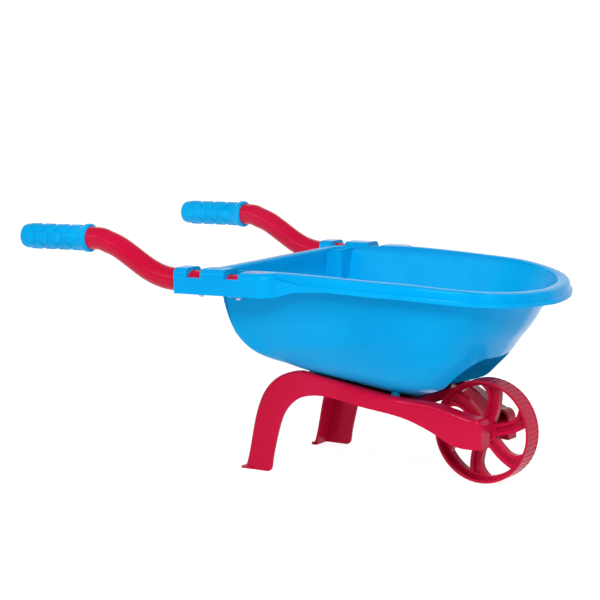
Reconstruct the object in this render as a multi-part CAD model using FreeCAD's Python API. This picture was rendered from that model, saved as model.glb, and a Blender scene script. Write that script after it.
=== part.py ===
# Child's sand wheelbarrow: one-piece tray, two S-bent tube handles with
# push-on grips, one moulded stand with two legs and two wheel arms, and a
# spoked wheel running on a steel axle captured between the arms.
# Frame: +X forward (wheel end), +Y left, +Z up, millimetres, ground at z = 0.
# Shapes are drawn with the wheel axis at x = 0 and shifted by DX when saved,
# so that x = 0 ends up half way along the barrow.
import FreeCAD, Part
import math
import os

os.makedirs("parts", exist_ok=True)
V = FreeCAD.Vector

# ---------------------------------------------------------------- dimensions
WHEEL_R = 60.0          # tread radius
WHEEL_W = 28.0          # tread width
RIM_T = 2.8             # wheel rim wall
WEB_T = 9.0             # spoke depth along Y
N_SPOKES = 6
N_RIBS = 56             # tread ribs
RIB_H = 0.8
HUB_R = 11.0
HUB_W = 34.0
AXLE_R = 4.0
AXLE_BORE = 4.05
WHEEL_BORE = 4.08
AXLE_Z = WHEEL_R
ARM_Y = 44.5            # arm outer face at the wheel
LEG_Y = 92.0            # leg outer face
CH_T = 3.0              # stand wall
CH_D = 20.5             # stand flange depth at the wheel
PLATE_DROP = 5.0        # plate top below the crowns of the arms
TUBE_R = 13.4           # handle tube outer radius
TUBE_END_R = 11.7       # radius at the end inside the tray, reached by a taper
TUBE_T = 1.8            # handle tube wall
SOCK_Y = 159.5          # tube axis at the tray
SOCK_Z = 230.4          # tube axis height at the mouth of the socket
SOCK_SLOPE = 0.014      # fall of the tube axis inside the socket, towards the front
SOCK_GAP = 0.2          # play between tube and socket
GRIP_Z = 271.0
SPLAY = math.tan(math.radians(1.73))
GRIP_R = 15.0
GRIP_FL = 16.9
GRIP_BORE = 13.56
X_TIP = -541.5          # outer end of the grips
X_FL = -442.5           # inner end of the grips
TRAY_T = 2.5            # tray wall
ARCH_R = 89.5           # wheel arch radius about the axle
ARCH_HW = 52.5          # wheel arch half width
DX = 226.7               # shift that puts the middle of the whole length at x = 0

def smooth(a, b, x):
    t = max(0.0, min(1.0, (x - a) / (b - a)))
    return t * t * (3 - 2 * t)

def lerp_table(tab, x):
    if x <= tab[0][0]:
        return tab[0][1]
    for (x0, y0), (x1, y1) in zip(tab, tab[1:]):
        if x <= x1:
            return y0 + (y1 - y0) * (x - x0) / (x1 - x0)
    return tab[-1][1]

def spline(pts, closed=False):
    c = Part.BSplineCurve()
    c.interpolate([V(*p) for p in pts], PeriodicFlag=closed)
    return c.toShape()

def prism(edges, vec):
    return Part.Face(Part.Wire(edges)).extrude(V(*vec))

def mirror_y(s):
    return s.mirror(V(0, 0, 0), V(0, 1, 0))

def save(name, shape):
    if shape.ShapeType == "Compound" and len(shape.Solids) == 1:
        shape = shape.Solids[0]
    assert shape.Solids, name
    shape = shape.translated(V(DX, 0, 0))
    bad = [s for s in shape.Solids if not s.isValid()]
    bb = shape.optimalBoundingBox(True, False)
    print("%-22s solids %d valid %s vol %.0f box %s" % (
        name, len(shape.Solids), not bad, shape.Volume,
        [round(v, 2) for v in (bb.XMin, bb.XMax, bb.YMin, bb.YMax, bb.ZMin, bb.ZMax)]))
    shape.exportStep("parts/%s.step" % name)

# ---------------------------------------------------------------- tray
# Plan outline of the inner edge of the rim, half of it (y >= 0), front to rear.
TOP_HALF = [(70.0, 0.0), (68.0, 20.0), (63.4, 43.0), (55.2, 65.5), (43.2, 86.0), (26.5, 103.4),
            (3.8, 117.2), (-27.6, 129.1), (-62.0, 135.6), (-105.0, 139.8), (-155.0, 142.4),
            (-205.0, 143.2), (-248.0, 143.2), (-272.0, 142.2), (-282.5, 131.0), (-284.0, 108.0),
            (-284.0, 74.0), (-284.0, 36.0), (-284.0, 0.0)]
# Plan outline of the edge of the flat floor, matched point by point.
BOT_HALF = [(-58.0, 0.0), (-58.5, 10.0), (-60.0, 20.0), (-62.5, 30.0), (-67.0, 39.0), (-73.0, 47.0),
            (-82.0, 53.5), (-94.0, 58.0), (-108.0, 60.5), (-124.0, 62.0), (-142.0, 63.0),
            (-160.0, 63.5), (-174.0, 62.5), (-184.0, 58.5), (-190.0, 51.0), (-193.0, 41.0),
            (-194.0, 29.0), (-194.5, 15.0), (-194.5, 0.0)]
LEVELS = [0.0, .12, .25, .4, .55, .68, .78, .86, .92, .96, .985, 1.0]
F_REAR = [0.0, -0.015, -0.012, 0.04, 0.118, 0.206, 0.304, 0.444, 0.647, 0.819, 0.916, 1.0]
F_SIDE = [0.0, 0.052, 0.116, 0.203, 0.303, 0.401, 0.492, 0.579, 0.681, 0.786, 0.89, 1.0]
F_FRONT = [0.0, 0.079, 0.165, 0.263, 0.383, 0.486, 0.58, 0.652, 0.746, 0.86, 0.945, 1.0]
def z_rim(x):
    return lerp_table([(-300, 241.4), (-285, 242.0), (-262, 243.2), (-235, 245.2), (-200, 246.6), (-150, 246.4),
                       (-100, 245.0), (-60, 243.7), (-19, 242.1), (22, 237.4), (53, 233.2), (74, 230.1), (95, 227.4)], x)

def z_floor(x):
    return 100.4 + 0.1766 * (-58.0 - x)

def full(half):
    return half + [(x, -y) for x, y in reversed(half[1:-1])]

TOP = full(TOP_HALF)
BOT = full(BOT_HALF)
N = len(TOP)

def normal(i):
    x0, y0 = TOP[(i - 1) % N]
    x1, y1 = TOP[(i + 1) % N]
    d = math.hypot(x1 - x0, y1 - y0)
    return (y1 - y0) / d, -(x1 - x0) / d

def rim_ring(off, dz):
    pts = []
    for i, (x, y) in enumerate(TOP):
        nx, ny = normal(i)
        px, py = x + nx * off, y + ny * off
        pts.append((px, py, z_rim(x) + dz))
    return Part.Wire([spline(pts, True)])

def bowl_ring(k, off, doff):
    g = LEVELS[k]
    pts = []
    for i in range(N):
        (tx, ty), (bx, by) = TOP[i], BOT[i]
        nx, ny = normal(i)
        wr = max(0.0, -nx) ** 1.5
        wf = max(0.0, nx) ** 1.5
        ws = max(0.0, 1 - wr - wf)
        f = wr * F_REAR[k] + wf * F_FRONT[k] + ws * F_SIDE[k]
        tx, ty = tx + nx * off, ty + ny * off
        x = tx + (bx - tx) * f
        y = ty + (by - ty) * f
        zt = z_rim(TOP[i][0]) - 3.0
        zb = z_floor(bx) - doff
        pts.append((x, y, zt + (zb - zt) * g))
    return Part.Wire([spline(pts, True)])

def shell_from(rings, ruled=False):
    return Part.makeLoft(rings, False, ruled)

# profile of the rolled rim, from the inner wall over the top to the bead
rim_path = [(0.4, -1.2), (2.0, -0.1), (5.0, 0.2), (10.0, -0.2), (13.4, -1.5), (15.2, -4.0),
            (15.9, -10.2), (17.4, -11.0), (18.1, -12.2), (18.2, -16.0)]
rim_back = [(15.8, -16.0), (13.6, -10.6), (13.0, -5.0), (11.2, -2.9), (7.0, -2.6)]

inner_rings = [bowl_ring(k, 0.0, 0.0) for k in range(len(LEVELS) - 1, -1, -1)]
outer_rings = [bowl_ring(k, TRAY_T, TRAY_T) for k in range(len(LEVELS))]
top_rings = [inner_rings[-1]] + [rim_ring(o, d) for o, d in rim_path]
back_rings = [rim_ring(o, d) for o, d in rim_back] + [outer_rings[0]]
faces = []
faces += shell_from(inner_rings).Faces
for seq in (top_rings, [top_rings[-1]] + back_rings):
    for a, b in zip(seq, seq[1:]):
        faces += shell_from([a, b], True).Faces
faces += shell_from(outer_rings).Faces

def floor_face(w):
    try:
        return Part.Face(w)
    except Exception:
        return Part.makeFilledFace(w.Edges)

faces.append(floor_face(inner_rings[0]))
faces.append(floor_face(outer_rings[-1]))
sh = Part.makeShell(faces)
sh.sewShape()
bowl = Part.makeSolid(sh.Shells[0] if sh.Shells else sh)
if bowl.Volume < 0:
    bowl.reverse()
print("bowl", bowl.isValid(), bowl.Volume, bowl.BoundBox)

def rbox(x0, x1, y0, y1, z0, z1):
    return Part.makeBox(x1 - x0, y1 - y0, z1 - z0, V(x0, y0, z0))

def vertical_edges(s, pts, tol=1.0):
    out = []
    for e in s.Edges:
        b = e.BoundBox
        if b.XLength < 1e-6 and b.YLength < 1e-6:
            for x, y in pts:
                if abs(b.XMin - x) < tol and abs(b.YMin - y) < tol:
                    out.append(e)
    return out

# re-entrant rear corners of the bowl, under the sockets, roofed at rim level
def notch(x1, y0, r, z1):
    b = rbox(-291.0, x1, y0, 146.4, 60.0, z1)
    return b.makeFillet(r, vertical_edges(b, [(x1, y0)]))

notch_out = notch(-268.0, 115.0, 5.0, 236.6)           # air outside the wall
notch_in = notch(-265.5, 112.5, 7.0, 250.0)            # wall and the air behind it

# wheel arch pressed into the lower front of the bowl, concentric with the wheel
def arch(r, hw, rf):
    c = Part.makeCylinder(r, 2 * hw, V(0.0, -hw, AXLE_Z), V(0, 1, 0))
    return c.makeFillet(rf, [e for e in c.Edges if isinstance(e.Curve, Part.Circle)])

arch_cut = arch(ARCH_R, ARCH_HW, 26.0)
arch_wall = arch(ARCH_R + TRAY_T, ARCH_HW + TRAY_T, 28.5)

# solid plug of the bowl, used to trim the added walls
plug_faces = shell_from(outer_rings).Faces + [floor_face(outer_rings[-1])]
top_w = outer_rings[0]
plug_faces.append(Part.makeFilledFace(top_w.Edges))
ps = Part.makeShell(plug_faces)
ps.sewShape()
plug = Part.makeSolid(ps.Shells[0])
if plug.Volume < 0:
    plug.reverse()

hump = arch_wall.common(plug)
corner = notch_in.common(plug)
tray = bowl.fuse(hump).fuse(corner).fuse(mirror_y(corner))
tray = tray.cut(arch_cut).cut(notch_out).cut(mirror_y(notch_out))

# handle sockets: an inverted channel with a rounded crown beside each rear
# corner, two windows through the crown, a saddle strap below each window;
# the whole socket leans up by TILT towards the front
SO, SI = SOCK_Y + 16.0, SOCK_Y - 16.2
TILT = 1.4
X_COL = -315.0          # rear end of the socket
def tilt(s):
    s.rotate(V(X_COL, 0, 217.6), V(0, 1, 0), -TILT)
    return s

def block(x0, x1, z1, front_r):
    b = rbox(x0, x1, SI, SO, 216.4, z1)
    if front_r:
        b = b.makeFillet(front_r, vertical_edges(b, [(x1, SO)]))
    tops = [e for e in b.Edges if e.BoundBox.ZLength < 1e-6 and abs(e.BoundBox.ZMin - z1) < 1e-6
            and e.BoundBox.XLength > 1e-6 and e.BoundBox.YMax > SO - 23]
    tops += [e for e in b.Edges if e.BoundBox.ZLength < 1e-6 and abs(e.BoundBox.ZMin - z1) < 1e-6
             and abs(e.BoundBox.YMax - SI) < 1e-6]
    return b.makeFillet(8.0, tops)

def socket_solid():
    return block(X_COL, -229.0, 246.2, 0.0).fuse(block(-246.0, -184.0, 243.6, 22.0))

def blend_skirt():
    # deepening of the rim skirt that leads into the socket, with an S-shaped lower edge
    low = [(-215.0, 0, 218.9), (-198.0, 0, 219.3), (-186.0, 0, 219.8), (-178.0, 0, 221.4), (-171.0, 0, 224.2),
           (-160.5, 0, 226.5), (-148.0, 0, 227.7), (-135.0, 0, 228.4), (-120.0, 0, 229.0)]
    high = [(-120.0, 0, 233.6), (-150.0, 0, 235.0), (-172.0, 0, 238.0), (-188.0, 0, 240.5), (-215.0, 0, 241.0)]
    side = prism([spline(low), Part.makeLine(V(*low[-1]), V(*high[0])), spline(high),
                  Part.makeLine(V(*high[-1]), V(*low[0]))], (0, 220, 0))
    outer = [(-215.0, 163.2, 0), (-200.0, 162.9, 0), (-185.0, 162.4, 0), (-165.0, 161.2, 0), (-148.0, 160.1, 0),
             (-132.0, 159.2, 0), (-120.0, 158.5, 0)]
    inner = [(x, y - 2.6, z) for x, y, z in reversed(outer)]
    plan = Part.Face(Part.Wire([spline(outer), Part.makeLine(V(*outer[-1]), V(*inner[0])),
                                spline(inner), Part.makeLine(V(*inner[-1]), V(*outer[0]))]))
    return plan.extrude(V(0, 0, 300)).common(side)

socket = tilt(socket_solid())
P_S = V(-319.0, SOCK_Y, SOCK_Z + 4.0 * SOCK_SLOPE)          # where the taper starts
P_END = V(-223.5, SOCK_Y, SOCK_Z - 91.5 * SOCK_SLOPE)       # inner end of the tube
TLEN = (P_END - P_S).Length
TDIR = (P_S - P_END).normalize()
TAPER = (TUBE_R - TUBE_END_R) / TLEN

def tube_r(s):
    # tube radius at distance s from P_S towards the inner end
    return TUBE_R - TAPER * s

def cone_seg(s0, s1, extra):
    # solid cone on the tube axis from s0 to s1, its surface `extra` outside the tube
    return Part.makeCone(tube_r(s0) + extra, tube_r(s1) + extra, s1 - s0, P_S - TDIR * s0, TDIR * -1)

bore = cone_seg(2.0, TLEN + 1.5, SOCK_GAP)
sx0, sx1 = -317.0, -222.0
slot = prism([Part.makeLine(V(sx0, SOCK_Y - 13.2, 200), V(sx0, SOCK_Y + 13.2, 200)),
              Part.makeLine(V(sx0, SOCK_Y + 13.2, 200), V(sx1, SOCK_Y + 11.5, 200)),
              Part.makeLine(V(sx1, SOCK_Y + 11.5, 200), V(sx1, SOCK_Y - 11.5, 200)),
              Part.makeLine(V(sx1, SOCK_Y - 11.5, 200), V(sx0, SOCK_Y - 13.2, 200))], (0, 0, 29.0))
hollow = bore.fuse(slot)
W1, W2 = (-297.6, -278.0), (-245.6, -226.0)       # the two windows
win = rbox(W1[0], W1[1], SI - 1, SO + 1, 235.6, 262.0).fuse(rbox(W2[0], W2[1], SI - 1, SO + 1, 235.6, 262.0))
win = tilt(win).cut(rbox(-400, -262, 100.0, 145.9, 230.0, 242.0)).cut(rbox(-262, 0, 100.0, 145.9, 230.0, 244.6))
strap = cone_seg(W1[0] - 1.0 + 319.0, W1[0] + 20.6 + 319.0, SOCK_GAP + 2.0).fuse(
    cone_seg(W2[0] - 1.0 + 319.0, W2[0] + 19.6 + 319.0, SOCK_GAP + 2.0))
strap = strap.common(rbox(-400, 0, SI, SO, 200.0, 223.5))
side_l = socket.fuse(blend_skirt()).cut(plug)
tray = tray.fuse(side_l).fuse(mirror_y(side_l))
tray = tray.cut(hollow).cut(mirror_y(hollow)).cut(win).cut(mirror_y(win))
sad = strap.cut(bore)
tray = tray.fuse(sad).fuse(mirror_y(sad))

# standing bosses below the floor, each with a screw pilot
def ch_top(x):
    return lerp_table([(-205, 125.6), (-150, 116.5), (-100, 107.5), (-76, 103.3), (-50, 98.6), (-33, 94.2),
                       (-23, 90.0), (-7, 84.2), (6, 80.6), (20, 77.0)], x)
# ---------------------------------------------------------------- stand
TOPP = [(-274.8, 0.0), (-264.9, 40.3), (-255.5, 78.3), (-249.3, 92.1), (-239.2, 105.5), (-224.3, 116.5),
        (-208.1, 122.3), (-195.0, 123.8)] + [(x, ch_top(x)) for x in (-172, -150, -125, -100, -76, -50, -33, -23, -7)] \
       + [(4.0, 80.8)]
FRONT_X = 16.5
BOTP = [(-241.6, 0.0), (-238.4, 1.0), (-236.3, 3.6), (-234.9, 10.0), (-229.6, 36.8), (-223.4, 59.4), (-218.4, 71.2), (-210.4, 82.0), (-199.7, 90.6), (-187.2, 95.4),
        (-174.5, 97.4), (-160.0, 97.4), (-121.0, 91.4), (-84.5, 85.8), (-60.5, 78.6), (-47.0, 71.0), (-32.5, 61.2),
        (-21.5, 52.8), (-12.0, 48.2), (-3.0, 46.2), (8.0, 45.6)]

def offset_path(pts, d):
    out = []
    for i, (x, z) in enumerate(pts):
        x0, z0 = pts[max(0, i - 1)]
        x1, z1 = pts[min(len(pts) - 1, i + 1)]
        l = math.hypot(x1 - x0, z1 - z0)
        out.append((x + (z1 - z0) / l * d, z - (x1 - x0) / l * d))
    return out

def side_face(top, bot, fx, rt, zb, y0, y1):
    # closed side outline: top path, rounded front end, lower path
    a = [(x, y0, z) for x, z in top]
    b = [(x, y0, z) for x, z in bot]
    tl = a[-1]
    bl = b[-1]
    c1 = (fx, y0, tl[2] - rt)
    edges = [spline(a),
             Part.Arc(V(*tl), V(tl[0] + (fx - tl[0]) * 0.74, y0, tl[2] - rt * 0.30), V(*c1)).toShape(),
             Part.makeLine(V(*c1), V(fx, y0, zb)),
             Part.makeLine(V(fx, y0, zb), V(*bl)),
             spline(list(reversed(b))),
             Part.makeLine(V(*b[0]), V(*a[0]))]
    return Part.Face(Part.Wire(edges)).extrude(V(0, y1 - y0, 0))

YOUT = [(-300.0, 92.0), (-262.0, 92.0), (-232.0, 92.0), (-210.0, 92.0), (-190.0, 92.0), (-170.0, 92.0),
        (-150.0, 92.0), (-132.0, 92.0), (-115.0, 91.6), (-92.0, 89.4), (-70.0, 83.0), (-50.0, 72.4),
        (-35.0, 63.6), (-20.0, 56.2), (-5.0, 50.4), (8.0, 46.6), (17.5, 44.4), (30.0, 42.0)]

def depth(x):
    # depth of the channel across the barrow: deep at the legs, shallow beside the tray
    return lerp_table([(-300, 27.5), (-232, 27.5), (-210, 16.0), (-190, 8.0), (-170, 8.0), (-150, 9.5), (-132, 12.0),
                       (-115, 14.0), (-80, 14.0), (-45, 17.0), (-15, CH_D), (40, CH_D)], x)

def plan_strip(o0, o1):
    # strip of the plan between two offsets from the outer line, numbers or functions of x
    f0 = o0 if callable(o0) else (lambda x: o0)
    f1 = o1 if callable(o1) else (lambda x: o1)
    a = [(x, y - f0(x), -5.0) for x, y in YOUT]
    b = [(x, y - f1(x), -5.0) for x, y in reversed(YOUT)]
    f = Part.Face(Part.Wire([spline(a), Part.makeLine(V(*a[-1]), V(*b[0])), spline(b), Part.makeLine(V(*b[-1]), V(*a[0]))]))
    return f.extrude(V(0, 0, 160.0))

outer_prism = side_face(TOPP, BOTP, FRONT_X, 9.0, 45.6, 0.0, 100.0)
bar = outer_prism.common(plan_strip(0.0, depth))
bar = bar.Solids[0]
# soften the long outer edge along the back, crown and nose
cand = []
for e in bar.Edges:
    b = e.BoundBox
    mids = [e.valueAt(e.FirstParameter + (e.LastParameter - e.FirstParameter) * t) for t in (0.3, 0.7)]
    ok = all(abs(m.y - lerp_table(YOUT, m.x)) < 0.6 for m in mids)
    up = all(m.z > lerp_table([(-275, 30), (-240, 60), (-200, 105), (-100, 97), (-40, 85), (0, 66), (20, 55)], m.x) or
             (m.x < -245 and m.z > 1) for m in mids)
    if ok and up and e.Length > 3:
        cand.append(e)
for r in (5.0, 4.0, 3.0, 2.0):
    try:
        t = bar.makeFillet(r, cand)
        if t.isValid() and len(t.Solids) == 1:
            bar = t
            print("stand fillet", r)
            break
    except Exception as ex:
        print("fillet", r, ex)
in_top = offset_path(TOPP, CH_T)
in_top[0] = (in_top[0][0] - 0.6, -6.0)
in_bot = offset_path(BOTP, 8.0)
in_bot = [(x, z) for x, z in in_bot]
in_bot[0] = (in_bot[0][0] + 2.0, -6.0)
inner_prism = side_face(in_top, in_bot, FRONT_X - CH_T, 8.0, 30.0, 0.0, 100.0)
cav = inner_prism.common(plan_strip(CH_T, lambda x: depth(x) + 6.0))
arm = bar.cut(cav)
# wheel bosses inside the arms
boss = Part.makeCylinder(9.0, 9.0, V(0, 19.6, AXLE_Z), V(0, 1, 0)).fuse(
    Part.makeCylinder(9.0, 40.0, V(0, 26.0, AXLE_Z), V(0, 1, 0)).common(bar))
rib_f = rbox(-1.3, 1.3, 27.5, 46.0, 46.0, 80.0).common(bar)
rib_h = rbox(-24.0, 14.0, 27.5, 50.0, AXLE_Z - 1.3, AXLE_Z + 1.3).common(bar)
nose_lip = bar.common(rbox(-14.0, 30.0, 0.0, 100.0, 40.0, 49.2))
arm = arm.fuse(boss).fuse(rib_f).fuse(rib_h).fuse(nose_lip)
arm = arm.cut(Part.makeCylinder(AXLE_BORE, 21.4, V(0, 18.0, AXLE_Z), V(0, 1, 0)))
# foot bead around the sole
bead = rbox(-277.4, -262.0, 64.5, 93.4, 0.0, 3.2).cut(rbox(-271.4, -230.0, 60.0, 89.0, -1, 5))
bead = bead.makeFillet(0.9, [e for e in bead.Edges if e.BoundBox.ZLength < 1e-6 and abs(e.BoundBox.ZMin) < 1e-6
                             and (e.BoundBox.XMax < -277 or e.BoundBox.YMin > 93)])
arm = arm.fuse(bead)
# bridge plate between the arms, set PLATE_DROP below the crowns and joined to
# them by a step wall, with three cross ribs underneath
PX0, PX1 = -200.0, -66.0
def band(drop, t, yhw):
    # slab following the crown line between PX0 and PX1, its top `drop` below it
    xs = (PX0, -190, -172, -150, -125, -100, -84, PX1)
    p = [(x, ch_top(x) - drop) for x in xs]
    lo = [(x, z - t) for x, z in p]
    f = Part.Face(Part.Wire([spline([(x, -yhw, z) for x, z in p]),
                             Part.makeLine(V(p[-1][0], -yhw, p[-1][1]), V(lo[-1][0], -yhw, lo[-1][1])),
                             spline([(x, -yhw, z) for x, z in reversed(lo)]),
                             Part.makeLine(V(lo[0][0], -yhw, lo[0][1]), V(p[0][0], -yhw, p[0][1]))]))
    return f.extrude(V(0, 2 * yhw, 0))

step = band(1.2, PLATE_DROP + CH_T - 1.2, 95.0).common(plan_strip(lambda x: depth(x) - 2.8, depth))
arm = arm.fuse(step)
mid_pts = [(x, y - depth(x) + 1.5) for x, y in YOUT]
mid_plan = Part.Face(Part.Wire(
    [spline([(x, y, -5.0) for x, y in mid_pts]),
     Part.makeLine(V(mid_pts[-1][0], mid_pts[-1][1], -5), V(mid_pts[-1][0], -mid_pts[-1][1], -5)),
     spline([(x, -y, -5.0) for x, y in reversed(mid_pts)]),
     Part.makeLine(V(mid_pts[0][0], -mid_pts[0][1], -5), V(mid_pts[0][0], mid_pts[0][1], -5))])).extrude(V(0, 0, 160))
plate = band(PLATE_DROP, CH_T, 95.0).common(mid_plan)
ribs = band(PLATE_DROP, 8.0, 95.0).common(
    rbox(PX0, PX0 + 2.5, -95, 95, 0, 200).fuse(rbox(-133.0, -130.5, -95, 95, 0, 200))
    ).common(mid_plan)
ribs = ribs.fuse(band(PLATE_DROP, 10.5, 95.0).common(rbox(PX1 - 2.5, PX1, -95, 95, 0, 200)).common(mid_plan))
stand = arm.fuse(mirror_y(arm)).fuse(plate).fuse(ribs)

def plate_z(x):
    return ch_top(x) - PLATE_DROP

BOSS = [(-184.0, 71.0), (-84.0, 64.0)]
BOSS_R = 5.0
xs = (-205, -190, -172, -150, -125, -100, -76, -60)
under = prism([spline([(x, -120.0, plate_z(x) + 0.1) for x in xs]),
               Part.makeLine(V(-60, -120, plate_z(-60) + 0.1), V(-60, -120, 0)),
               Part.makeLine(V(-60, -120, 0), V(-205, -120, 0)),
               Part.makeLine(V(-205, -120, 0), V(-205, -120, plate_z(-205) + 0.1))], (0, 240, 0))
in_plug_faces = shell_from(list(reversed(inner_rings))).Faces + [floor_face(inner_rings[0]),
                                                               Part.makeFilledFace(inner_rings[-1].Edges)]
ips = Part.makeShell(in_plug_faces)
ips.sewShape()
in_plug = Part.makeSolid(ips.Shells[0])
if in_plug.Volume < 0:
    in_plug.reverse()
screws = []
for bx, by in BOSS:
    for y in (by, -by):
        z0 = plate_z(bx)
        post = Part.makeCylinder(BOSS_R, 26.0, V(bx, y, z0 - 4.0), V(0, 0, 1)).cut(under).cut(in_plug)
        tray = tray.fuse(post).cut(Part.makeCylinder(1.55, 9.6, V(bx, y, z0 - 5.0), V(0, 0, 1)))
        stand = stand.cut(Part.makeCylinder(1.9, 30.0, V(bx, y, z0 - 18.0), V(0, 0, 1)))
        # flat seat below the plate for the screw head
        seat = Part.makeCylinder(5.5, 6.0, V(bx, y, z0 - 7.0), V(0, 0, 1)).cut(
            Part.makeCylinder(1.9, 20.0, V(bx, y, z0 - 10.0), V(0, 0, 1)))
        stand = stand.fuse(seat.common(band(PLATE_DROP, 12.0, 95.0)))
        screws.append((bx, y, z0))

def screw(x, y, z_head, length, r=1.5, rh=3.4):
    # pan-head screw pointing up, cross recess in the head
    s = Part.makeCylinder(r, length, V(x, y, z_head), V(0, 0, 1))
    h = Part.makeCylinder(rh, 2.0, V(x, y, z_head - 2.0), V(0, 0, 1))
    h = h.makeFillet(0.8, [e for e in h.Edges if abs(e.BoundBox.ZMin - z_head + 2.0) < 1e-6 and e.BoundBox.ZLength < 1e-6
                           and e.BoundBox.XLength > 1])
    tip = Part.makeCone(r, 0.4, 1.6, V(x, y, z_head + length), V(0, 0, 1))
    rec = rbox(x - 2.0, x + 2.0, y - 0.4, y + 0.4, z_head - 2.1, z_head - 1.0).fuse(
        rbox(x - 0.4, x + 0.4, y - 2.0, y + 2.0, z_head - 2.1, z_head - 1.0))
    return s.fuse(h).fuse(tip).cut(rec)

tray_screws = Part.makeCompound([screw(bx, y, z0 - 7.05, 9.8) for bx, y, z0 in screws])

# ---------------------------------------------------------------- wheel
def pol(r, a, y=0.0):
    return V(r * math.cos(math.radians(a)), y, AXLE_Z + r * math.sin(math.radians(a)))

gear = []
for i in range(N_RIBS):
    a = 360.0 * i / N_RIBS
    w = 360.0 / N_RIBS
    gear += [pol(WHEEL_R - RIB_H, a - 0.5 * w + 0.06 * w), pol(WHEEL_R, a - 0.22 * w), pol(WHEEL_R, a + 0.22 * w),
             pol(WHEEL_R - RIB_H, a + 0.5 * w - 0.06 * w)]
tread = Part.Face(Part.Wire(Part.makePolygon(gear + [gear[0]]).Edges)).extrude(V(0, WHEEL_W, 0))
tread.translate(V(0, -WHEEL_W / 2, 0))
side_cap = Part.makeCylinder(WHEEL_R - 0.05, 2.0, V(0, -WHEEL_W / 2, AXLE_Z), V(0, 1, 0))
side_cap2 = Part.makeCylinder(WHEEL_R - 0.05, 2.0, V(0, WHEEL_W / 2 - 2.0, AXLE_Z), V(0, 1, 0))
bore_rim = Part.makeCylinder(WHEEL_R - RIM_T, WHEEL_W + 2, V(0, -WHEEL_W / 2 - 1, AXLE_Z), V(0, 1, 0))
rim = tread.fuse(side_cap).fuse(side_cap2).cut(bore_rim)
webring = Part.makeCylinder(WHEEL_R - 1.5, 7.0, V(0, -3.5, AXLE_Z), V(0, 1, 0)).cut(
    Part.makeCylinder(52.8, 9.0, V(0, -4.5, AXLE_Z), V(0, 1, 0)))
hub = Part.makeCylinder(HUB_R, HUB_W, V(0, -HUB_W / 2, AXLE_Z), V(0, 1, 0))
hub = hub.makeFillet(1.2, [e for e in hub.Edges if isinstance(e.Curve, Part.Circle)])

def spoke_edge(side, a0, w0, flare, r0, r1, n=9):
    pts = []
    for i in range(n):
        r = r0 + (r1 - r0) * i / (n - 1)
        c = a0 + 11.0 * max(0.0, (r - 10.0) / 46.0) ** 2
        w = w0 + flare * max(0.0, (r - 36.0) / 20.0) ** 2.2
        pts.append(pol(r, c + side * math.degrees(w / r)))
    return pts

def spoke(a0, w, depth, r0, r1, fl_ccw, fl_cw, y0):
    l = spoke_edge(1, a0, w, fl_ccw, r0, r1)
    q = spoke_edge(-1, a0, w, fl_cw, r0, r1)
    e1 = Part.BSplineCurve(); e1.interpolate(l)
    e2 = Part.BSplineCurve(); e2.interpolate(list(reversed(q)))
    f = Part.Face(Part.Wire([e1.toShape(), Part.makeLine(l[-1], q[-1]), e2.toShape(), Part.makeLine(q[0], l[0])]))
    s = f.extrude(V(0, depth, 0))
    s.translate(V(0, y0, 0))
    return s

SPOKE_A = [69.0 + 60.0 * k for k in range(N_SPOKES)]
wheel = rim.fuse([webring, hub] + [spoke(a, 7.2, WEB_T, 7.5, 55.5, 12.0, 1.0, -WEB_T / 2) for a in SPOKE_A])
wheel = wheel.removeSplitter()
grooves = []
for a in SPOKE_A:
    grooves.append(spoke(a + 1.0, 3.0, 3.0, 15.0, 51.5, 3.0, 0.5, -WEB_T / 2 - 0.01))
    grooves.append(spoke(a + 1.0, 3.0, 3.0, 15.0, 51.5, 3.0, 0.5, WEB_T / 2 - 2.99))
wheel = wheel.cut(grooves + [Part.makeCylinder(WHEEL_BORE, 60.0, V(0, -30.0, AXLE_Z), V(0, 1, 0))])
axle = Part.makeCylinder(AXLE_R, 77.0, V(0, -38.5, AXLE_Z), V(0, 1, 0))
axle = axle.makeChamfer(0.6, [e for e in axle.Edges if isinstance(e.Curve, Part.Circle)])
def washer(y0):
    return Part.makeCylinder(7.5, 1.2, V(0, y0, AXLE_Z), V(0, 1, 0)).cut(
        Part.makeCylinder(AXLE_R + 0.03, 3.0, V(0, y0 - 1, AXLE_Z), V(0, 1, 0)))
washers = Part.makeCompound([washer(18.0), washer(-19.2)])

# ---------------------------------------------------------------- handles and grips
GA = V(X_TIP, SOCK_Y + SPLAY * (-X_TIP - 300.0), 269.3)
GB = V(X_FL, SOCK_Y + SPLAY * (-X_FL - 300.0), 271.8)
GDIR = (GB - GA).normalize()
def tube_path():
    pts = [(-336.0, 231.8), (-350.0, 235.4), (-364.0, 241.4), (-379.0, 249.9), (-394.0, 258.6), (-408.0, 265.3),
           (-421.0, 269.5)]
    mid = [V(x, SOCK_Y + SPLAY * (-x - 322.0) * 1.02, z) for x, z in pts]
    p_g = GB + GDIR * 4.0
    c = Part.BSplineCurve()
    c.interpolate([P_S] + mid + [p_g], InitialTangent=TDIR, FinalTangent=GDIR * -1)
    p_out = GA + GDIR * 4.0
    return Part.Wire([c.toShape(), Part.makeLine(p_g, p_out)])

def swept(r, path):
    circ = Part.Wire([Part.makeCircle(r, P_S, TDIR)])
    return path.makePipeShell([circ], True, False)

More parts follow.
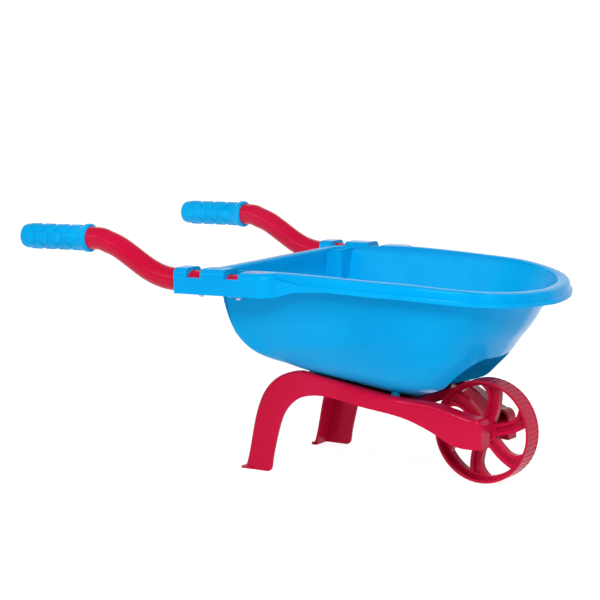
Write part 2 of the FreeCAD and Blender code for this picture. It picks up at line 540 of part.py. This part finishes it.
path = tube_path()
tube = swept(TUBE_R, path).fuse(cone_seg(0.0, TLEN, 0.0))
tube = tube.cut(swept(TUBE_R - TUBE_T, path)).cut(cone_seg(0.0, TLEN + 1.0, -TUBE_T))
GLEN = (GB - GA).Length
def rev(profile):
    w = Part.makePolygon([V(s, r, 0) for s, r in profile] + [V(profile[0][0], profile[0][1], 0)])
    return Part.Face(w).revolve(V(0, 0, 0), V(1, 0, 0), 360)
prof = [(0, 0), (0.0, 5.0), (0.5, 8.0), (1.6, 10.8), (3.4, 13.0), (5.6, 14.2), (7.5, 14.6), (GLEN - 10.5, 14.6),
        (GLEN - 8.0, 15.2), (GLEN - 6.6, 16.4), (GLEN - 5.4, GRIP_FL), (GLEN - 1.6, GRIP_FL), (GLEN - 0.5, 16.4),
        (GLEN, 15.6), (GLEN, GRIP_BORE), (3.6, GRIP_BORE), (2.6, 12.5), (2.6, 0)]
g = rev(prof)
discs = []
ann = Part.makeCylinder(15.4, 78.0, V(10.0, 0, 0), V(1, 0, 0)).cut(Part.makeCylinder(14.3, 80.0, V(9.0, 0, 0), V(1, 0, 0)))
for j in range(7):
    for k in range(4):
        a = math.radians(90.0 * k + (45.0 if j % 2 else 0.0))
        d = Part.makeCylinder(6.6, 6.0, V(19.0 + 10.0 * j, 12.0 * math.cos(a), 12.0 * math.sin(a)),
                              V(0, math.cos(a), math.sin(a)))
        discs.append(d)
dd = discs[0].fuse(discs[1:]).common(ann)
g = g.fuse(dd)
rot = FreeCAD.Rotation(V(1, 0, 0), GDIR)
g.Placement = FreeCAD.Placement(GA, rot)
HSX = ((W1[0] + W1[1]) / 2, (W2[0] + W2[1]) / 2)
def tube_low(x):
    # lowest point of the tube at x, inside the socket
    return SOCK_Z - (x - X_COL) * SOCK_SLOPE - tube_r(x + 319.0)

handle_screws = [screw(x, s * SOCK_Y, tube_low(x) - SOCK_GAP - 2.2, 6.2, 1.5, 3.0) for x in HSX for s in (1, -1)]
pilots = [Part.makeCylinder(1.6, 12.0, V(x, SOCK_Y, tube_low(x) - 4.0), V(0, 0, 1)) for x in HSX]
tray = tray.cut(pilots + [mirror_y(p) for p in pilots])
tube = tube.cut(pilots)

save("tray", tray)
save("stand", stand)
save("wheel", wheel)
save("axle", axle)
save("axle_washers", washers)
save("handle_left", tube)
save("handle_right", mirror_y(tube))
save("grip_left", g)
save("grip_right", mirror_y(g))
save("tray_screws", tray_screws)
save("handle_screws", Part.makeCompound(handle_screws))
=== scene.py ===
import bpy, bmesh, math
from mathutils import Matrix, Vector

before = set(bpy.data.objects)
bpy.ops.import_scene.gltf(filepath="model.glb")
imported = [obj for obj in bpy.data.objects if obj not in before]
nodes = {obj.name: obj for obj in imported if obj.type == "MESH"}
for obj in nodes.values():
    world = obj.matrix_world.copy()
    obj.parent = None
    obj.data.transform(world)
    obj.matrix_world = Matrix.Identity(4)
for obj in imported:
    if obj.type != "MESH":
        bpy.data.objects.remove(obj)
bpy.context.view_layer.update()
DX = 0.2267
scene = bpy.context.scene

# ------------------------------------------------------------------ camera
def make_camera():
    cam = bpy.data.cameras.new("cam")
    ob = bpy.data.objects.new("cam", cam)
    scene.collection.objects.link(ob)
    a, e = math.radians(32.26), math.radians(8.17)
    r = Vector((math.cos(a), math.sin(a), 0))
    w = Vector((-math.sin(a) * math.cos(e), math.cos(a) * math.cos(e), -math.sin(e)))
    u = r.cross(w)
    m = Matrix((r, u, -w)).transposed().to_4x4()
    tx, ty, tz = 3.58 * 0.06, -2.50 * 0.06, 40.71 * 0.06
    m.translation = Vector((DX, 0, 0.06)) - (tx * r + ty * u + tz * w)
    ob.matrix_world = m
    cam.sensor_width = 36.0
    cam.lens = 2119.0 * 36.0 / 600.0
    cam.clip_start = 0.1
    cam.clip_end = 30.0
    scene.camera = ob
    return ob

cam = make_camera()

# ------------------------------------------------------------------ materials
def new_mat(name):
    m = bpy.data.materials.new(name)
    m.use_nodes = True
    nt = m.node_tree
    nt.nodes.clear()
    out = nt.nodes.new("ShaderNodeOutputMaterial")
    b = nt.nodes.new("ShaderNodeBsdfPrincipled")
    nt.links.new(b.outputs[0], out.inputs[0])
    return m, nt, b

def noise(nt, scale, detail=3.0, rough=0.5, dist=0.0, vec=None):
    n = nt.nodes.new("ShaderNodeTexNoise")
    n.inputs["Scale"].default_value = scale
    n.inputs["Detail"].default_value = detail
    n.inputs["Roughness"].default_value = rough
    n.inputs["Distortion"].default_value = dist
    if vec is not None:
        nt.links.new(vec, n.inputs["Vector"])
    return n

def ramp(nt, fac, stops):
    r = nt.nodes.new("ShaderNodeValToRGB")
    els = r.color_ramp.elements
    while len(els) < len(stops):
        els.new(0.5)
    for el, (p, c) in zip(els, stops):
        el.position = p
        el.color = c if len(c) == 4 else tuple(c) + (1.0,)
    nt.links.new(fac, r.inputs[0])
    return r

def maprange(nt, fac, lo, hi, a, b):
    n = nt.nodes.new("ShaderNodeMapRange")
    n.inputs["From Min"].default_value = lo
    n.inputs["From Max"].default_value = hi
    n.inputs["To Min"].default_value = a
    n.inputs["To Max"].default_value = b
    nt.links.new(fac, n.inputs["Value"])
    return n

def mixrgb(nt, fac, a, b, blend="MIX"):
    n = nt.nodes.new("ShaderNodeMix")
    n.data_type = "RGBA"
    n.blend_type = blend
    for sock, val in ((n.inputs[0], fac), (n.inputs[6], a), (n.inputs[7], b)):
        if hasattr(val, "is_output"):
            nt.links.new(val, sock)
        elif isinstance(val, (int, float)):
            sock.default_value = val
        else:
            sock.default_value = tuple(val) + (1.0,) if len(val) == 3 else val
    return n.outputs[2]

def plastic(name, base, dark, light, rough=(0.22, 0.34), flow=0.5, grain=0.12, edge=0.35, coat=0.0, spec=0.35, tint=(1, 1, 1)):
    """Moulded plastic: slow flow-mark mottling, worn pale edges, fine scuffs and a slight skin texture."""
    m, nt, b = new_mat(name)
    tc = nt.nodes.new("ShaderNodeTexCoord").outputs["Object"]
    stretch = nt.nodes.new("ShaderNodeMapping")
    stretch.inputs["Scale"].default_value = (0.7, 1.6, 1.0)
    nt.links.new(tc, stretch.inputs["Vector"])
    n1 = noise(nt, 9.0, 4.0, 0.55, 0.6, stretch.outputs[0])
    c1 = ramp(nt, n1.outputs["Fac"], [(0.30, dark), (0.52, base), (0.75, light)])
    n2 = noise(nt, 95.0, 3.0, 0.6, 0.0, tc)
    c2 = mixrgb(nt, maprange(nt, n2.outputs["Fac"], 0.45, 0.75, 0.0, 0.16 * flow).outputs[0], c1.outputs[0], light)
    geo = nt.nodes.new("ShaderNodeNewGeometry")
    wearf = maprange(nt, geo.outputs["Pointiness"], 0.53, 0.60, 0.0, 1.0)
    n3 = noise(nt, 60.0, 4.0, 0.6, 0.0, tc)
    wm = nt.nodes.new("ShaderNodeMath"); wm.operation = "MULTIPLY"
    nt.links.new(wearf.outputs[0], wm.inputs[0])
    nt.links.new(maprange(nt, n3.outputs["Fac"], 0.42, 0.66, 0.0, edge).outputs[0], wm.inputs[1])
    c3 = mixrgb(nt, wm.outputs[0], c2, light)
    nt.links.new(c3, b.inputs["Base Color"])
    n4 = noise(nt, 26.0, 4.0, 0.6, 0.2, tc)
    nt.links.new(maprange(nt, n4.outputs["Fac"], 0.3, 0.7, rough[0], rough[1]).outputs[0], b.inputs["Roughness"])
    n5 = noise(nt, 900.0, 2.0, 0.5, 0.0, tc)
    n6 = noise(nt, 30.0, 2.0, 0.5, 0.0, tc)
    add = nt.nodes.new("ShaderNodeMath"); add.operation = "MULTIPLY_ADD"
    nt.links.new(n6.outputs["Fac"], add.inputs[0])
    add.inputs[1].default_value = 1.6
    nt.links.new(n5.outputs["Fac"], add.inputs[2])
    bump = nt.nodes.new("ShaderNodeBump")
    bump.inputs["Strength"].default_value = grain
    bump.inputs["Distance"].default_value = 0.0004
    nt.links.new(add.outputs[0], bump.inputs["Height"])
    nt.links.new(bump.outputs[0], b.inputs["Normal"])
    b.inputs["IOR"].default_value = 1.5
    b.inputs["Specular IOR Level"].default_value = spec
    b.inputs["Specular Tint"].default_value = tuple(tint) + (1.0,)
    b.inputs["Coat Weight"].default_value = coat
    b.inputs["Coat Roughness"].default_value = 0.08
    return m

BTINT = (0.35, 0.85, 1.0)
RTINT = (1.0, 0.55, 0.65)
BLUE = plastic("tray_blue", (0.0, 0.292, 0.640), (0.0, 0.272, 0.612), (0.002, 0.325, 0.68), rough=(0.11, 0.17), spec=0.08, tint=BTINT)
GRIP = plastic("grip_blue", (0.0, 0.310, 0.655), (0.0, 0.285, 0.620), (0.006, 0.380, 0.74), rough=(0.20, 0.30), grain=0.2, spec=0.09, tint=BTINT)
RED = plastic("stand_red", (0.43, 0.0035, 0.032), (0.395, 0.003, 0.027), (0.48, 0.007, 0.044), rough=(0.14, 0.22), spec=0.10, tint=RTINT)
TUBE = plastic("handle_red", (0.47, 0.004, 0.034), (0.43, 0.0035, 0.028), (0.54, 0.010, 0.05), rough=(0.14, 0.22), spec=0.16, tint=RTINT)

def math_node(nt, op, *vals):
    n = nt.nodes.new("ShaderNodeMath")
    n.operation = op
    for sock, v in zip(n.inputs, vals):
        if hasattr(v, "is_output"):
            nt.links.new(v, sock)
        else:
            sock.default_value = v
    return n.outputs[0]

def side_panel(mat):
    """Flat pad pressed into each lower flank of the tray: a rising upper edge with one rounded front corner."""
    nt = mat.node_tree
    b = next(n for n in nt.nodes if n.type == "BSDF_PRINCIPLED")
    skin = b.inputs["Normal"].links[0].from_socket
    sep = nt.nodes.new("ShaderNodeSeparateXYZ")
    nt.links.new(nt.nodes.new("ShaderNodeTexCoord").outputs["Object"], sep.inputs[0])
    geo = nt.nodes.new("ShaderNodeNewGeometry")
    nsep = nt.nodes.new("ShaderNodeSeparateXYZ")
    nt.links.new(geo.outputs["True Normal"], nsep.inputs[0])
    x, y, z = sep.outputs
    line = math_node(nt, "MULTIPLY_ADD", x, 0.17, 0.1850 - 0.17 * DX)       # height of the upper edge
    up = math_node(nt, "SUBTRACT", line, z)
    front = math_node(nt, "SUBTRACT", DX - 0.0250, x)
    f = math_node(nt, "SMOOTH_MIN", up, front, 0.030)
    f = math_node(nt, "SMOOTH_MAX", f, 0.0, 0.0012)
    f = math_node(nt, "MINIMUM", f, 0.05)
    out = math_node(nt, "GREATER_THAN", math_node(nt, "MULTIPLY", nsep.outputs[1], y), 0.0)
    side = math_node(nt, "GREATER_THAN", math_node(nt, "ABSOLUTE", y), 0.052)
    low = math_node(nt, "LESS_THAN", z, 0.20)
    f = math_node(nt, "MULTIPLY", math_node(nt, "MULTIPLY", math_node(nt, "MULTIPLY", f, out), side), low)
    h = math_node(nt, "MULTIPLY", f, -0.16)
    bump = nt.nodes.new("ShaderNodeBump")
    bump.inputs["Strength"].default_value = 1.0
    bump.inputs["Distance"].default_value = 1.0
    nt.links.new(h, bump.inputs["Height"])
    nt.links.new(skin, bump.inputs["Normal"])
    nt.links.new(bump.outputs[0], b.inputs["Normal"])

side_panel(BLUE)

def inner_painted_light(mat):
    """Painted light: a paler base colour, with a noise-varied amount, painted onto the inside of the tub in place of
    lamp light. The amount is chosen for brightness, not measured.
    """
    nt = mat.node_tree
    b = next(n for n in nt.nodes if n.type == "BSDF_PRINCIPLED")
    skin = b.inputs["Base Color"].links[0].from_socket
    tc = nt.nodes.new("ShaderNodeTexCoord").outputs["Object"]
    sep = nt.nodes.new("ShaderNodeSeparateXYZ")
    nt.links.new(tc, sep.inputs[0])
    nsep = nt.nodes.new("ShaderNodeSeparateXYZ")
    nt.links.new(nt.nodes.new("ShaderNodeNewGeometry").outputs["True Normal"], nsep.inputs[0])
    x = math_node(nt, "ADD", sep.outputs[0], 0.120 - DX)
    dot = math_node(nt, "ADD", math_node(nt, "MULTIPLY", x, nsep.outputs[0]),
                    math_node(nt, "MULTIPLY", sep.outputs[1], nsep.outputs[1]))
    inward = maprange(nt, dot, -0.030, -0.055, 0.0, 1.0)
    low = maprange(nt, sep.outputs[2], 0.243, 0.236, 0.0, 1.0)
    within = math_node(nt, "LESS_THAN", math_node(nt, "ABSOLUTE", sep.outputs[1]), 0.144)
    n = noise(nt, 45.0, 5.0, 0.65, 0.8, tc)
    amount = maprange(nt, n.outputs["Fac"], 0.30, 0.72, 0.55, 1.0)
    f = math_node(nt, "MULTIPLY", math_node(nt, "MULTIPLY", inward.outputs[0], low.outputs[0]),
                  math_node(nt, "MULTIPLY", within, amount.outputs[0]))
    # painted light: mixes a paler blue into the inward-facing walls below the rim to brighten them
    nt.links.new(mixrgb(nt, f, skin, (0.002, 0.400, 0.760)), b.inputs["Base Color"])

inner_painted_light(BLUE)

def steel(name):
    m, nt, b = new_mat(name)
    tc = nt.nodes.new("ShaderNodeTexCoord").outputs["Object"]
    n1 = noise(nt, 120.0, 4.0, 0.6, 0.3, tc)
    c = ramp(nt, n1.outputs["Fac"], [(0.3, (0.42, 0.42, 0.43)), (0.55, (0.60, 0.60, 0.61)), (0.8, (0.70, 0.69, 0.66))])
    nt.links.new(c.outputs[0], b.inputs["Base Color"])
    nt.links.new(maprange(nt, n1.outputs["Fac"], 0.3, 0.7, 0.24, 0.42).outputs[0], b.inputs["Roughness"])
    bump = nt.nodes.new("ShaderNodeBump")
    bump.inputs["Strength"].default_value = 0.15
    bump.inputs["Distance"].default_value = 0.0002
    nt.links.new(n1.outputs["Fac"], bump.inputs["Height"])
    nt.links.new(bump.outputs[0], b.inputs["Normal"])
    b.inputs["Metallic"].default_value = 1.0
    return m

STEEL = steel("steel")

def give(node, mat):
    o = nodes[node]
    o.data.materials.clear()
    o.data.materials.append(mat)

for n in ("tray",):
    give(n, BLUE)
for n in ("grip_left", "grip_right"):
    give(n, GRIP)
for n in ("stand", "wheel"):
    give(n, RED)
for n in ("handle_left", "handle_right"):
    give(n, TUBE)
for n in ("axle", "axle_washers", "tray_screws", "handle_screws"):
    give(n, STEEL)

# ------------------------------------------------------------------ stage
def make_floor():
    bm = bmesh.new()
    rows = []
    prof = [(-14.0, 0.0), (-6.0, 0.0), (-3.0, 0.0), (0.0, 0.0), (2.5, 0.0), (3.2, 0.06), (3.8, 0.3), (4.2, 0.8), (4.4, 1.6), (4.5, 4.5)]
    # sweep runs away from the camera
    a = math.radians(32.26)
    r = Vector((math.cos(a), math.sin(a), 0))
    w = Vector((-math.sin(a), math.cos(a), 0))
    for d, h in prof:
        rows.append([bm.verts.new(r * s + w * d + Vector((0, 0, h))) for s in (-14.0, -2.0, 2.0, 14.0)])
    for p, q in zip(rows, rows[1:]):
        for i in range(3):
            bm.faces.new((p[i], p[i + 1], q[i + 1], q[i]))
    me = bpy.data.meshes.new("floor")
    bm.to_mesh(me)
    bm.free()
    ob = bpy.data.objects.new("floor", me)
    scene.collection.objects.link(ob)
    for p in me.polygons:
        p.use_smooth = True
    m, nt, b = new_mat("floor_paper")
    tc = nt.nodes.new("ShaderNodeTexCoord").outputs["Object"]
    n1 = noise(nt, 2.0, 3.0, 0.5, 0.0, tc)
    c = ramp(nt, n1.outputs["Fac"], [(0.3, (0.27, 0.27, 0.27)), (0.7, (0.30, 0.30, 0.30))])
    nt.links.new(c.outputs[0], b.inputs["Base Color"])
    nt.links.new(maprange(nt, n1.outputs["Fac"], 0.3, 0.7, 0.85, 0.95).outputs[0], b.inputs["Roughness"])
    b.inputs["Specular IOR Level"].default_value = 0.1
    b.inputs["Emission Color"].default_value = (1.0, 1.0, 1.0, 1.0)
    b.inputs["Emission Strength"].default_value = 0.90
    me.materials.append(m)
    return ob

floor = make_floor()

def area(name, loc, target, size, power, color=(1, 1, 1), size_y=None):
    d = bpy.data.lights.new(name, "AREA")
    d.energy = power
    d.color = color
    d.size = size
    if size_y:
        d.shape = "RECTANGLE"
        d.size_y = size_y
    o = bpy.data.objects.new(name, d)
    scene.collection.objects.link(o)
    o.location = loc
    o.rotation_euler = (Vector(target) - Vector(loc)).to_track_quat("-Z", "Y").to_euler()
    return o

CENTRE = (0.0, 0.0, 0.15)
area("key", (1.39, -1.91, 2.0), CENTRE, 1.2, 48.0)
area("spark", (1.2, -2.5, 1.6), CENTRE, 0.14, 16.0)
area("fill", (-1.7, -2.4, 1.4), CENTRE, 1.2, 10.0)
area("top", (0.95, -1.25, 2.65), CENTRE, 1.2, 26.0)

world = bpy.data.worlds.new("studio")
world.use_nodes = True
bg = world.node_tree.nodes["Background"]
bg.inputs[0].default_value = (1, 1, 1, 1)
bg.inputs[1].default_value = 0.27
scene.world = world
scene.view_settings.view_transform = "Standard"
